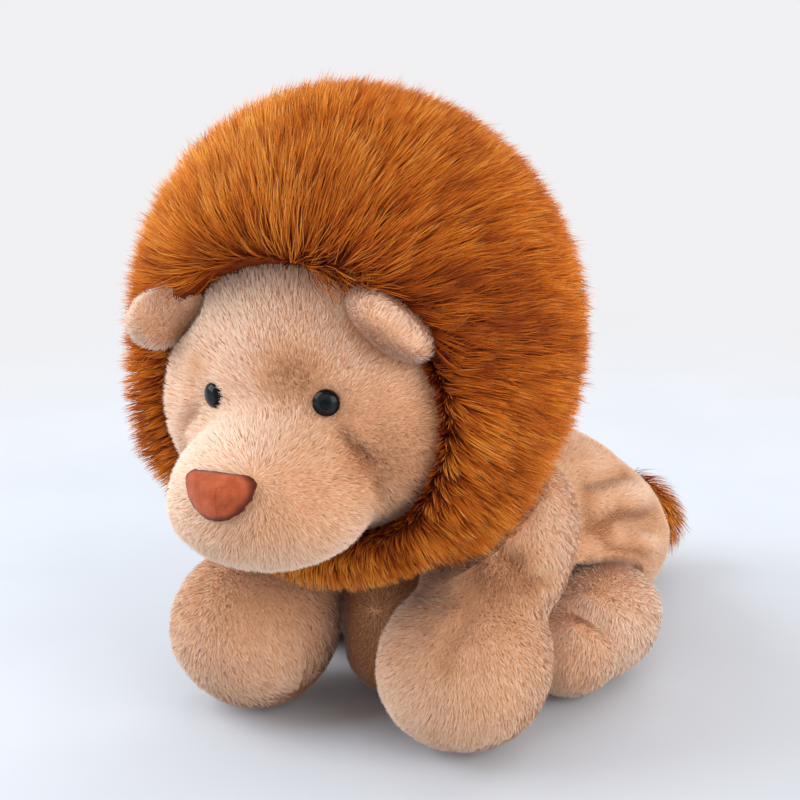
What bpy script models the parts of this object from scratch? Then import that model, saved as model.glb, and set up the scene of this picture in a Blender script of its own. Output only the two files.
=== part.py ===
"""A stuffed plush lion lying on its belly, with a round furry mane.

Metres, +Z up. The lion faces -Y and its own left side is +X. The origin is on
the table, in the middle of the belly's flat underside.

Every stuffed piece is a ball or an egg that swells and tapers along a short
path. A larger neighbour cuts a smaller one, and a piece that turns has a pocket
that clears it over its whole range.
"""

import math

import bmesh
import bpy
from mathutils import Matrix, Vector

# Clearances and overruns
SEAM_GAP = 0.0004           # between two pieces that are sewn together
TURN_GAP = 0.0005           # between two pieces that turn against each other
PRESS = 0.0005              # how deep the table flattens what lies on it
OVERRUN = 0.020             # how far a cutter runs past what it cuts

# Mane: a ball of long fur, round about the upright axis that the neck turns on
MANE_FORWARD = 0.160        # centre in front of the belly's middle
MANE_HEIGHT = 0.240         # centre above the table
MANE_RADIUS = 0.1325
MANE_HALF_HEIGHT = 0.140
MANE_FRONT_DEPTH = 0.112    # the front half is flatter than the back
FACE_FLARE = 0.042          # how much the face's opening widens to the front
FACE_OPENING = 0.083        # half the opening's height where it is deepest
MANE_SEGMENTS = 26
MANE_RINGS = 15

# Head: a ball that sits in the front of the mane, a little tipped to one side
HEAD_FORWARD = 0.045        # centre in front of the mane's centre
HEAD_DROP = 0.026           # centre below the mane's centre
HEAD_ROLL = math.radians(5.0)
EYES_ASIDE = 0.0028         # how far the eyes sit to the left of the middle
HEAD_HALF_WIDTH = 0.085
HEAD_HALF_HEIGHT = 0.095    # from the centre to the crown
CHIN_DEPTH = 0.076          # from the centre down
HEAD_FRONT_DEPTH = 0.047
HEAD_BACK_DEPTH = 0.062
CHEEK_SWELL = 0.011         # how much wider the cheeks are than the middle
CHEEK_LEVEL_SHARE = 0.42    # how far below the centre the cheeks are widest, of the half height
CHEEK_REACH_SHARE = 0.85    # how far above and below that level the cheeks swell
BROW_LEAN = 0.012           # how far the forehead leans back at the top

# Muzzle: an egg that is wider and fuller at the chin
MUZZLE_FORWARD = 0.044      # centre in front of the head's centre
MUZZLE_DROP = 0.038
MUZZLE_HALF_WIDTH = 0.057
MUZZLE_HALF_HEIGHT = 0.043
MUZZLE_DEPTH = 0.048
JOWL_SWELL = 0.012
BRIDGE_NARROW_SHARE = 0.16  # how much of its width the muzzle loses at its top

# Nose: a padded, rounded triangle with its point down
NOSE_HALF_WIDTH = 0.0238
NOSE_HALF_HEIGHT = 0.0127
NOSE_DEPTH = 0.0105
NOSE_WRAP = 0.007           # how far the nose's sides curve back round the muzzle
NOSE_ASIDE = 0.0015         # how far it sits to the right of the middle
NOSE_RISE = 0.0087          # centre above the muzzle's centre
NOSE_TAPER_SHARE = 0.30     # how much of its width the nose loses at its point
NOSE_FULLNESS = 0.55        # below 1 the nose's top is squarer than a ball's
NOSE_STAND = 0.0062         # how far its middle stands out of the muzzle

# Eyes: domes with a shank, held inside the head by a washer
EYE_SPREAD = 0.036          # from the middle of the face
EYE_RISE = 0.0095           # above the head's centre
EYE_RADIUS = 0.0075
EYE_DOME = 0.0046
EYE_RIM = 0.0012            # straight edge below the dome
EYE_OUTWARD = math.radians(24.0)
EYE_SINK = 0.0012           # how deep the rim is pressed into the pile
SHANK_RADIUS = 0.0022
SHANK_LENGTH = 0.014
WASHER_RADIUS = 0.0065
WASHER_THICKNESS = 0.0016
WASHER_DEPTH = 0.0080       # from the rim down the shank
ROUND_SEGMENTS = 24
EYE_STEPS = 6               # rings of the dome

# Ears: flaps that hinge on the seam between face and mane
EAR_SPREAD = 0.0690
EAR_FORWARD = 0.0215         # root in front of the head's centre
EAR_RISE = 0.0470
EAR_HALF_LENGTH = 0.0272    # along the seam
EAR_REACH = 0.028
EAR_HALF_THICKNESS = 0.0125
EAR_SLANT = math.radians(36.0)
EAR_FACING = math.radians(38.0)
EAR_FLAP = math.radians(12.0)

# Body: from the chest between the front legs to the round rump
CHEST_FORWARD = 0.147
RUMP_BACK = 0.140
CHEST_HALF_WIDTH = 0.068
CHEST_HALF_HEIGHT = 0.062
WAIST_HALF_WIDTH = 0.084
WAIST_HALF_HEIGHT = 0.086
LOIN_HALF_WIDTH = 0.106
LOIN_HALF_HEIGHT = 0.076
HAUNCH_HALF_WIDTH = 0.1125   # behind the thighs
BELLY_PRESS_SHARE = 0.40    # how much of the underside's roundness the table takes away
CHEST_END_SHARES = (0.8, 0.9)   # the width and height at the very front, of the chest's
RUMP_END_SHARES = (0.9, 0.9)    # the same at the very back, of the rump's
SAG_SHARE = 0.14            # how much lower than halfway up the bag is widest
BAG_FULLNESS = 0.66         # below 1 the bag's ends are fuller than a ball's
RUMP_HALF_WIDTH = 0.121
RUMP_HALF_HEIGHT = 0.066

# Front legs: an upper arm that swells at the shoulder, and a fat round paw
SHOULDER_SPREAD = 0.066
SHOULDER_FORWARD = 0.112
SHOULDER_HEIGHT = 0.107
ARM_TOP_SWELL_SHARE = 0.14  # how much wider the arm is at its top
ARM_RADIUS = 0.045
ARM_HALF_LENGTH = 0.068
ARM_LEAN = math.radians(36.0)
PAW_SPREAD = 0.066
PAW_FORWARD = 0.146
PAW_HALF_WIDTH = 0.049
PAW_HALF_HEIGHT = 0.0525
PAW_HALF_LENGTH = 0.060
PAW_BROAD_SHARE = 0.10      # how much broader the paw is at its front
RIGHT_PAW_LEAD = 0.012      # the right leg lies a little further forward
LEG_LIFT = math.radians(7.0)
LEG_BACK = math.radians(4.0)

# Hind legs: a folded thigh beside the belly, and a foot in front of it
HIP_SPREAD = 0.094
HIP_FORWARD = 0.020
THIGH_HALF_WIDTH = 0.0405
THIGH_HALF_HEIGHT = 0.038
THIGH_HALF_LENGTH = 0.056
THIGH_FALL_SHARE = 0.13     # how much lower the thigh is at its back
FOOT_SPREAD = 0.090
FOOT_FORWARD = 0.056
FOOT_HALF_WIDTH = 0.036
FOOT_HALF_HEIGHT = 0.0320
FOOT_HALF_LENGTH = 0.037
FOOT_BROAD_SHARE = 0.12     # how much broader the foot is at its front
HIND_LIFT = math.radians(9.0)
HIND_BACK = math.radians(2.0)

# Tail: a thin stuffed tube from the rump, with a furry tuft that hangs down
TAIL_HEIGHT = 0.066
TAIL_RADIUS = 0.0105
TAIL_SEAT = 0.014           # depth of the tail's flat seat in the rump
TAIL_STAND = 0.004          # straight length behind the rump
TAIL_BEND = 0.018
TAIL_SIDE = 0.036           # how far the tail reaches to the left
TUFT_RADIUS = 0.023
TUFT_HALF_LENGTH = 0.036
TUFT_SIDE = 0.049           # the tuft's centre from the middle
TUFT_PEAR_SHARE = 0.18      # how much wider the tuft is at its lower end
TUFT_DROP = 0.015           # the tuft's centre below the tail
TUFT_HANG = math.radians(38.0)

# Facets of the padded forms, round and from end to end
HEAD_FACETS = (20, 14)
MUZZLE_FACETS = (16, 11)
NOSE_FACETS = (16, 8)
EAR_FACETS = (12, 8)
BODY_FACETS = (22, 16)
PAW_FACETS = (16, 10)
LIMB_FACETS = (14, 9)

LEFT = 1
RIGHT = -1

COLOURS = {
    "plush": ((0.72, 0.48, 0.31, 1.0), 0.95),
    "face_plush": ((0.74, 0.49, 0.32, 1.0), 0.95),
    "paw_plush": ((0.62, 0.35, 0.20, 1.0), 0.95),
    "mane_fur": ((0.43, 0.10, 0.012, 1.0), 0.9),
    "nose_felt": ((0.51, 0.13, 0.06, 1.0), 0.9),
    "eye_gloss": ((0.008, 0.008, 0.010, 1.0), 0.08),
    "washer_plastic": ((0.75, 0.75, 0.72, 1.0), 0.4),
}


def clear_scene():
    for old in list(bpy.data.objects):
        bpy.data.objects.remove(old)


def make_collection(name):
    collection = bpy.data.collections.new(name)
    bpy.context.scene.collection.children.link(collection)
    return collection


def material(name, kind):
    colour, roughness = COLOURS[kind]
    made = bpy.data.materials.new(name)
    made.use_nodes = True
    shader = made.node_tree.nodes["Principled BSDF"]
    shader.inputs["Base Color"].default_value = colour
    shader.inputs["Roughness"].default_value = roughness
    shader.inputs["Metallic"].default_value = 0.0
    return made


def side_name(side):
    return "left" if side == LEFT else "right"


def smooth_value(values, share):
    """Read a row of values at a share of its length, along a smooth curve."""
    last = len(values) - 1
    place = min(max(share, 0.0), 1.0) * last
    first = min(int(place), last - 1)
    part = place - first
    before = values[max(first - 1, 0)]
    start = values[first]
    end = values[first + 1]
    after = values[min(first + 2, last)]
    pull = (end - before) * 0.5
    push = (after - start) * 0.5
    cube = part ** 3
    square = part ** 2
    return (
        start * (2 * cube - 3 * square + 1)
        + pull * (cube - 2 * square + part)
        + end * (3 * square - 2 * cube)
        + push * (cube - square)
    )


def unit_ball(segments, rings):
    ball = bmesh.new()
    bmesh.ops.create_uvsphere(ball, u_segments=segments, v_segments=rings, radius=1.0)
    return ball


def grow_mesh(shape, distance):
    shape.normal_update()
    moves = [(vertex, vertex.normal * distance) for vertex in shape.verts]
    for vertex, move in moves:
        vertex.co += move


def mesh_object(name, shape, collection, kind=None):
    mesh = bpy.data.meshes.new(name)
    shape.to_mesh(mesh)
    shape.free()
    mesh.shade_smooth()
    made = bpy.data.objects.new(name, mesh)
    collection.objects.link(made)
    if kind is None:
        made.hide_render = True
        made.display_type = "WIRE"
    else:
        mesh.materials.append(material(name, kind))
    return made


def boolean(target, other, operation="DIFFERENCE"):
    change = target.modifiers.new(f"{operation.lower()} {other.name}", "BOOLEAN")
    change.operation = operation
    change.solver = "EXACT"
    change.object = other


def swept_hull(shape, turns):
    """The convex space that a convex shape fills while it makes the given turns."""
    hull = bmesh.new()
    for turn in turns:
        for vertex in shape.verts:
            hull.verts.new(turn @ vertex.co)
    shape.free()
    made = bmesh.ops.convex_hull(hull, input=list(hull.verts))
    inside = made["geom_interior"] + made["geom_unused"]
    loose = {item for item in inside if isinstance(item, bmesh.types.BMVert)}
    bmesh.ops.delete(hull, geom=list(loose), context="VERTS")
    return hull


def box_shape(low, high):
    box = bmesh.new()
    size = Vector(high) - Vector(low)
    middle = (Vector(high) + Vector(low)) / 2
    place = Matrix.Translation(middle) @ Matrix.Diagonal(size.to_4d())
    bmesh.ops.create_cube(box, size=1.0, matrix=place)
    return box


def turn_about_x(centre, angle):
    """Turn about the line along X through centre; a positive angle lifts what is in front."""
    there = Matrix.Translation(Vector(centre))
    return there @ Matrix.Rotation(-angle, 4, "X") @ there.inverted()


def angle_steps(low, high, count):
    return [low + (high - low) * step / (count - 1) for step in range(count)]


def turned_mesh(profile, segments, closed=False):
    """Revolve a profile about Z. An open profile starts and ends on the axis."""
    shape = bmesh.new()
    corners = [shape.verts.new((radius, 0.0, height)) for radius, height in profile]
    edges = [shape.edges.new(pair) for pair in zip(corners, corners[1:])]
    if closed:
        edges.append(shape.edges.new((corners[-1], corners[0])))
    bmesh.ops.spin(
        shape,
        geom=corners + edges,
        cent=(0.0, 0.0, 0.0),
        axis=(0.0, 0.0, 1.0),
        angle=2 * math.pi,
        steps=segments,
        use_merge=True,
    )
    bmesh.ops.remove_doubles(shape, verts=shape.verts, dist=1e-6)
    bmesh.ops.recalc_face_normals(shape, faces=shape.faces)
    return shape


def mane_centre():
    return Vector((0.0, -MANE_FORWARD, MANE_HEIGHT))


def mane_shape(grow=0.0):
    shape = unit_ball(MANE_SEGMENTS, MANE_RINGS)
    for vertex in shape.verts:
        depth = MANE_RADIUS if vertex.co.y > 0.0 else MANE_FRONT_DEPTH
        size = Vector((MANE_RADIUS, depth, MANE_HALF_HEIGHT))
        vertex.co = mane_centre() + vertex.co * size
    grow_mesh(shape, grow)
    return shape


def mane_sweep_shape(gap):
    """The space that the mane fills at any turn of the neck, with a gap round it."""
    half_segment = math.pi / MANE_SEGMENTS
    facet_share = math.cos(half_segment)
    shape = unit_ball(MANE_SEGMENTS, MANE_RINGS)
    bmesh.ops.rotate(shape, verts=shape.verts, matrix=Matrix.Rotation(half_segment, 3, "Z"))
    across = (MANE_RADIUS + gap) / facet_share
    upright = (MANE_HALF_HEIGHT + gap) / facet_share
    for vertex in shape.verts:
        vertex.co = mane_centre() + vertex.co * Vector((across, across, upright))
    return shape


def head_shape(grow=0.0):
    """The head in its own frame, whose origin is the head's centre."""
    shape = unit_ball(*HEAD_FACETS)
    for vertex in shape.verts:
        unit = vertex.co.copy()
        depth = HEAD_BACK_DEPTH if unit.y > 0.0 else HEAD_FRONT_DEPTH
        level = max(0.0, 1.0 - ((unit.z + CHEEK_LEVEL_SHARE) / CHEEK_REACH_SHARE) ** 2)
        cheek = CHEEK_SWELL * level * unit.x
        lean = BROW_LEAN * max(unit.z, 0.0) ** 2
        vertex.co = Vector((
            unit.x * HEAD_HALF_WIDTH + cheek,
            unit.y * depth + lean,
            unit.z * (HEAD_HALF_HEIGHT if unit.z > 0.0 else CHIN_DEPTH),
        ))
    grow_mesh(shape, grow)
    return shape


def face_opening_shape():
    """The funnel in the mane that the face looks out of, in the head's frame."""
    funnel = bmesh.new()
    facets = HEAD_FACETS[0]
    bmesh.ops.create_cone(funnel, cap_ends=True, segments=facets, radius1=1.0, radius2=1.0, depth=1.0)
    bmesh.ops.rotate(funnel, verts=funnel.verts, matrix=Matrix.Rotation(math.pi / 2, 3, "X"))
    reach = MANE_FRONT_DEPTH
    for vertex in funnel.verts:
        in_front = vertex.co.y < 0.0
        flare = FACE_FLARE if in_front else 0.0
        around = Vector((vertex.co.x, 0.0, vertex.co.z))
        size = Vector((HEAD_HALF_WIDTH + flare, 0.0, FACE_OPENING + flare))
        vertex.co = around * size + Vector((0.0, -reach if in_front else 0.0, 0.0))
    return funnel


def muzzle_centre():
    return Vector((0.0, -MUZZLE_FORWARD, -MUZZLE_DROP))


def muzzle_shape(grow=0.0):
    shape = unit_ball(*MUZZLE_FACETS)
    for vertex in shape.verts:
        unit = vertex.co.copy()
        swell = JOWL_SWELL * max(-unit.z, 0.0) * (1.0 - unit.z ** 2)
        narrow = 1.0 - BRIDGE_NARROW_SHARE * max(unit.z, 0.0)
        offset = Vector((
            unit.x * (MUZZLE_HALF_WIDTH * narrow + swell),
            unit.y * (MUZZLE_DEPTH + swell),
            unit.z * MUZZLE_HALF_HEIGHT,
        ))
        vertex.co = muzzle_centre() + offset
    grow_mesh(shape, grow)
    return shape


def nose_shape():
    shape = unit_ball(*NOSE_FACETS)
    front = muzzle_front(NOSE_RISE)
    centre = Vector((-NOSE_ASIDE, front - NOSE_STAND + NOSE_DEPTH, -MUZZLE_DROP + NOSE_RISE))
    for vertex in shape.verts:
        unit = vertex.co.copy()
        narrow = 1.0 - NOSE_TAPER_SHARE * (1.0 - unit.z) / 2
        ring = math.sqrt(max(1.0 - unit.z ** 2, 0.0))
        full = ring ** (NOSE_FULLNESS - 1.0) if unit.z > 0.0 and ring > 0.0 else 1.0
        across = unit.x * full
        offset = Vector((
            across * NOSE_HALF_WIDTH * narrow,
            unit.y * full * NOSE_DEPTH + NOSE_WRAP * across ** 2,
            unit.z * NOSE_HALF_HEIGHT,
        ))
        vertex.co = centre + offset
    return shape


def muzzle_front(rise):
    """How far forward the muzzle's surface is, at a height above its centre."""
    across = math.sqrt(1.0 - (rise / MUZZLE_HALF_HEIGHT) ** 2)
    return -MUZZLE_FORWARD - MUZZLE_DEPTH * across


def head_front(spread, rise):
    """How far forward the head's surface is, beside and above its centre."""
    across = 1.0 - (spread / HEAD_HALF_WIDTH) ** 2 - (rise / HEAD_HALF_HEIGHT) ** 2
    lean = BROW_LEAN * max(rise / HEAD_HALF_HEIGHT, 0.0) ** 2
    return -HEAD_FRONT_DEPTH * math.sqrt(across) + lean


def eye_frame(side):
    """An eye's place in the head's frame; its Z points out of the face."""
    aside = side * EYE_SPREAD + EYES_ASIDE
    rim = Vector((aside, head_front(aside, EYE_RISE), EYE_RISE))
    facing = Matrix.Rotation(side * EYE_OUTWARD, 4, "Z") @ Matrix.Rotation(math.pi / 2, 4, "X")
    sink = Matrix.Translation((0.0, 0.0, -EYE_SINK))
    return Matrix.Translation(rim) @ facing @ sink


def eye_shape(gap=0.0, overrun=0.0):
    """A dome on a shank. With a gap it is the hole that the eye needs."""
    radius = EYE_RADIUS + gap
    shank = SHANK_RADIUS + gap
    profile = [(0.0, EYE_DOME + EYE_RIM + overrun)]
    for step in range(1, EYE_STEPS + 1):
        turn = math.pi / 2 * step / EYE_STEPS
        height = EYE_RIM + overrun + EYE_DOME * math.cos(turn)
        profile.append((radius * math.sin(turn), height))
    profile += [
        (radius, -gap),
        (shank, -gap),
        (shank, -SHANK_LENGTH - gap),
        (0.0, -SHANK_LENGTH - gap),
    ]
    return turned_mesh(profile, ROUND_SEGMENTS)


def washer_shape():
    """A flat ring that grips the shank inside the head."""
    top = -WASHER_DEPTH
    bottom = top - WASHER_THICKNESS
    bore = SHANK_RADIUS + SEAM_GAP
    profile = [(bore, top), (WASHER_RADIUS, top), (WASHER_RADIUS, bottom), (bore, bottom)]
    return turned_mesh(profile, ROUND_SEGMENTS, closed=True)


def washer_pocket_shape():
    top = -WASHER_DEPTH + SEAM_GAP
    bottom = -WASHER_DEPTH - WASHER_THICKNESS - SEAM_GAP
    outer = WASHER_RADIUS + SEAM_GAP
    profile = [(0.0, top), (outer, top), (outer, bottom), (0.0, bottom)]
    return turned_mesh(profile, ROUND_SEGMENTS)


def ear_frame(side, flap=0.0):
    """An ear's place in the head's frame: X along its seam, Y out of the head."""
    root = Vector((side * EAR_SPREAD, -EAR_FORWARD, EAR_RISE))
    seam = Vector((side * math.cos(EAR_SLANT), 0.0, -math.sin(EAR_SLANT)))
    outward = Vector((side * math.sin(EAR_FACING), -math.cos(EAR_FACING), 0.0))
    outward = (outward - seam * outward.dot(seam)).normalized()
    thickness = seam.cross(outward)
    place = Matrix((seam, outward, thickness)).transposed().to_4x4()
    return Matrix.Translation(root) @ place @ Matrix.Rotation(flap, 4, "X")


def ear_shape(grow=0.0):
    """A padded flap in its own frame. Its root is round about the X axis."""
    shape = unit_ball(*EAR_FACETS)
    for vertex in shape.verts:
        unit = vertex.co.copy()
        reach = EAR_REACH if unit.y > 0.0 else EAR_HALF_THICKNESS
        vertex.co = unit * Vector((EAR_HALF_LENGTH, reach, EAR_HALF_THICKNESS))
    grow_mesh(shape, grow)
    return shape


def resting_height(half_height):
    """The centre height of a round form that the table presses flat."""
    return half_height - PRESS


def body_shape():
    half_widths = [
        CHEST_HALF_WIDTH * CHEST_END_SHARES[0], CHEST_HALF_WIDTH, WAIST_HALF_WIDTH,
        LOIN_HALF_WIDTH, HAUNCH_HALF_WIDTH, RUMP_HALF_WIDTH, RUMP_HALF_WIDTH * RUMP_END_SHARES[0],
    ]
    half_heights = [
        CHEST_HALF_HEIGHT * CHEST_END_SHARES[1], CHEST_HALF_HEIGHT, WAIST_HALF_HEIGHT,
        LOIN_HALF_HEIGHT, LOIN_HALF_HEIGHT, RUMP_HALF_HEIGHT, RUMP_HALF_HEIGHT * RUMP_END_SHARES[1],
    ]
    shape = unit_ball(*BODY_FACETS)
    for vertex in shape.verts:
        unit = vertex.co.copy()
        share = (1.0 - unit.z) / 2
        ring = math.sqrt(max(1.0 - unit.z ** 2, 0.0))
        full = ring ** BAG_FULLNESS
        turn = math.atan2(unit.y, unit.x)
        upright = full * math.sin(turn)
        if upright < 0.0:
            upright = max(upright * (1.0 + BELLY_PRESS_SHARE), -1.0)
        upright *= 1.0 + (SAG_SHARE if upright > 0.0 else -SAG_SHARE)
        half_width = smooth_value(half_widths, share)
        half_height = smooth_value(half_heights, share)
        middle = resting_height(half_height * (1.0 - SAG_SHARE))
        vertex.co = Vector((
            full * half_width * math.cos(turn),
            -CHEST_FORWARD + share * (CHEST_FORWARD + RUMP_BACK),
            middle + half_height * upright,
        ))
    return shape


def shoulder_centre(side):
    lead = RIGHT_PAW_LEAD if side == RIGHT else 0.0
    return Vector((side * SHOULDER_SPREAD, -SHOULDER_FORWARD - lead, SHOULDER_HEIGHT))


def arm_shape(side, grow=0.0):
    shape = unit_ball(*LIMB_FACETS)
    lean = Matrix.Rotation(-ARM_LEAN, 4, "X")
    for vertex in shape.verts:
        unit = vertex.co.copy()
        swell = 1.0 + ARM_TOP_SWELL_SHARE * unit.z
        offset = Vector((
            unit.x * ARM_RADIUS * swell,
            unit.y * ARM_RADIUS,
            unit.z * ARM_HALF_LENGTH,
        ))
        vertex.co = shoulder_centre(side) + lean @ offset
    grow_mesh(shape, grow)
    return shape


def paw_shape(side, grow=0.0):
    shape = unit_ball(*PAW_FACETS)
    lead = RIGHT_PAW_LEAD if side == RIGHT else 0.0
    centre = Vector((side * PAW_SPREAD, -PAW_FORWARD - lead, resting_height(PAW_HALF_HEIGHT)))
    for vertex in shape.verts:
        unit = vertex.co.copy()
        broad = 1.0 - PAW_BROAD_SHARE * unit.y
        offset = Vector((
            unit.x * PAW_HALF_WIDTH * broad,
            unit.y * PAW_HALF_LENGTH,
            unit.z * PAW_HALF_HEIGHT,
        ))
        vertex.co = centre + offset
    grow_mesh(shape, grow)
    return shape


def hip_centre(side):
    return Vector((side * HIP_SPREAD, -HIP_FORWARD, resting_height(THIGH_HALF_HEIGHT)))


def thigh_shape(side, grow=0.0):
    shape = unit_ball(*LIMB_FACETS)
    for vertex in shape.verts:
        unit = vertex.co.copy()
        taper = 1.0 - THIGH_FALL_SHARE * unit.y
        offset = Vector((
            unit.x * THIGH_HALF_WIDTH,
            unit.y * THIGH_HALF_LENGTH,
            unit.z * THIGH_HALF_HEIGHT * taper,
        ))
        vertex.co = hip_centre(side) + offset
    grow_mesh(shape, grow)
    return shape


def foot_shape(side, grow=0.0):
    shape = unit_ball(*LIMB_FACETS)
    centre = Vector((side * FOOT_SPREAD, -FOOT_FORWARD, resting_height(FOOT_HALF_HEIGHT)))
    for vertex in shape.verts:
        unit = vertex.co.copy()
        broad = 1.0 - FOOT_BROAD_SHARE * unit.y
        offset = Vector((
            unit.x * FOOT_HALF_WIDTH * broad,
            unit.y * FOOT_HALF_LENGTH,
            unit.z * FOOT_HALF_HEIGHT,
        ))
        vertex.co = centre + offset
    grow_mesh(shape, grow)
    return shape


def tail_root():
    """The middle of the tail's flat root face, in its seat in the rump."""
    return Vector((0.0, RUMP_BACK - TAIL_SEAT + SEAM_GAP, TAIL_HEIGHT))


def tail_path():
    """From the seat straight back, then round a bend to the left."""
    bend_start = RUMP_BACK + TAIL_STAND
    points = [tail_root(), Vector((0.0, (tail_root().y + bend_start) / 2, TAIL_HEIGHT))]
    for angle in angle_steps(0.0, math.pi / 2, 6):
        sideways = TAIL_BEND * (1.0 - math.cos(angle))
        back = bend_start + TAIL_BEND * math.sin(angle)
        points.append(Vector((sideways, back, TAIL_HEIGHT)))
    points.append(Vector((TAIL_SIDE, bend_start + TAIL_BEND, TAIL_HEIGHT)))
    return points


def tail_tube(collection):
    curve = bpy.data.curves.new("tail path", "CURVE")
    curve.dimensions = "3D"
    curve.bevel_depth = TAIL_RADIUS
    curve.bevel_resolution = 2
    curve.use_fill_caps = True
    spline = curve.splines.new("POLY")
    path = tail_path()
    spline.points.add(len(path) - 1)
    for point, place in zip(spline.points, path):
        point.co = place.to_4d()
    drawn = bpy.data.objects.new("tail path", curve)
    collection.objects.link(drawn)
    bpy.context.view_layer.update()
    evaluated = drawn.evaluated_get(bpy.context.evaluated_depsgraph_get())
    shape = bmesh.new()
    tube = bpy.data.meshes.new_from_object(evaluated)
    shape.from_mesh(tube)
    bpy.data.meshes.remove(tube)
    bpy.data.objects.remove(drawn)
    bmesh.ops.remove_doubles(shape, verts=shape.verts, dist=1e-5)
    bmesh.ops.recalc_face_normals(shape, faces=shape.faces)
    return shape


def tuft_shape(grow=0.0):
    """The furry end of the tail, a pear that is wider at its lower end."""
    shape = unit_ball(*LIMB_FACETS)
    behind = RUMP_BACK + TAIL_STAND + TAIL_BEND
    centre = Vector((TUFT_SIDE, behind, TAIL_HEIGHT - TUFT_DROP))
    lean = Matrix.Rotation(-TUFT_HANG, 4, "Y")
    for vertex in shape.verts:
        unit = vertex.co.copy()
        swell = 1.0 - TUFT_PEAR_SHARE * unit.z
        offset = Vector((
            unit.x * TUFT_RADIUS * swell,
            unit.y * TUFT_RADIUS * swell,
            unit.z * TUFT_HALF_LENGTH,
        ))
        vertex.co = centre + lean @ offset
    grow_mesh(shape, grow)
    return shape


def leg_turns(side, low=-LEG_BACK, high=LEG_LIFT):
    return [turn_about_x(shoulder_centre(side), angle) for angle in angle_steps(low, high, 4)]


def hind_turns(side, low=-HIND_BACK, high=HIND_LIFT):
    return [turn_about_x(hip_centre(side), angle) for angle in angle_steps(low, high, 4)]


def hind_back_turns(side):
    """The same turns undone, as what stands still is seen from the hind leg."""
    return hind_turns(side, -HIND_LIFT, HIND_BACK)


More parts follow.
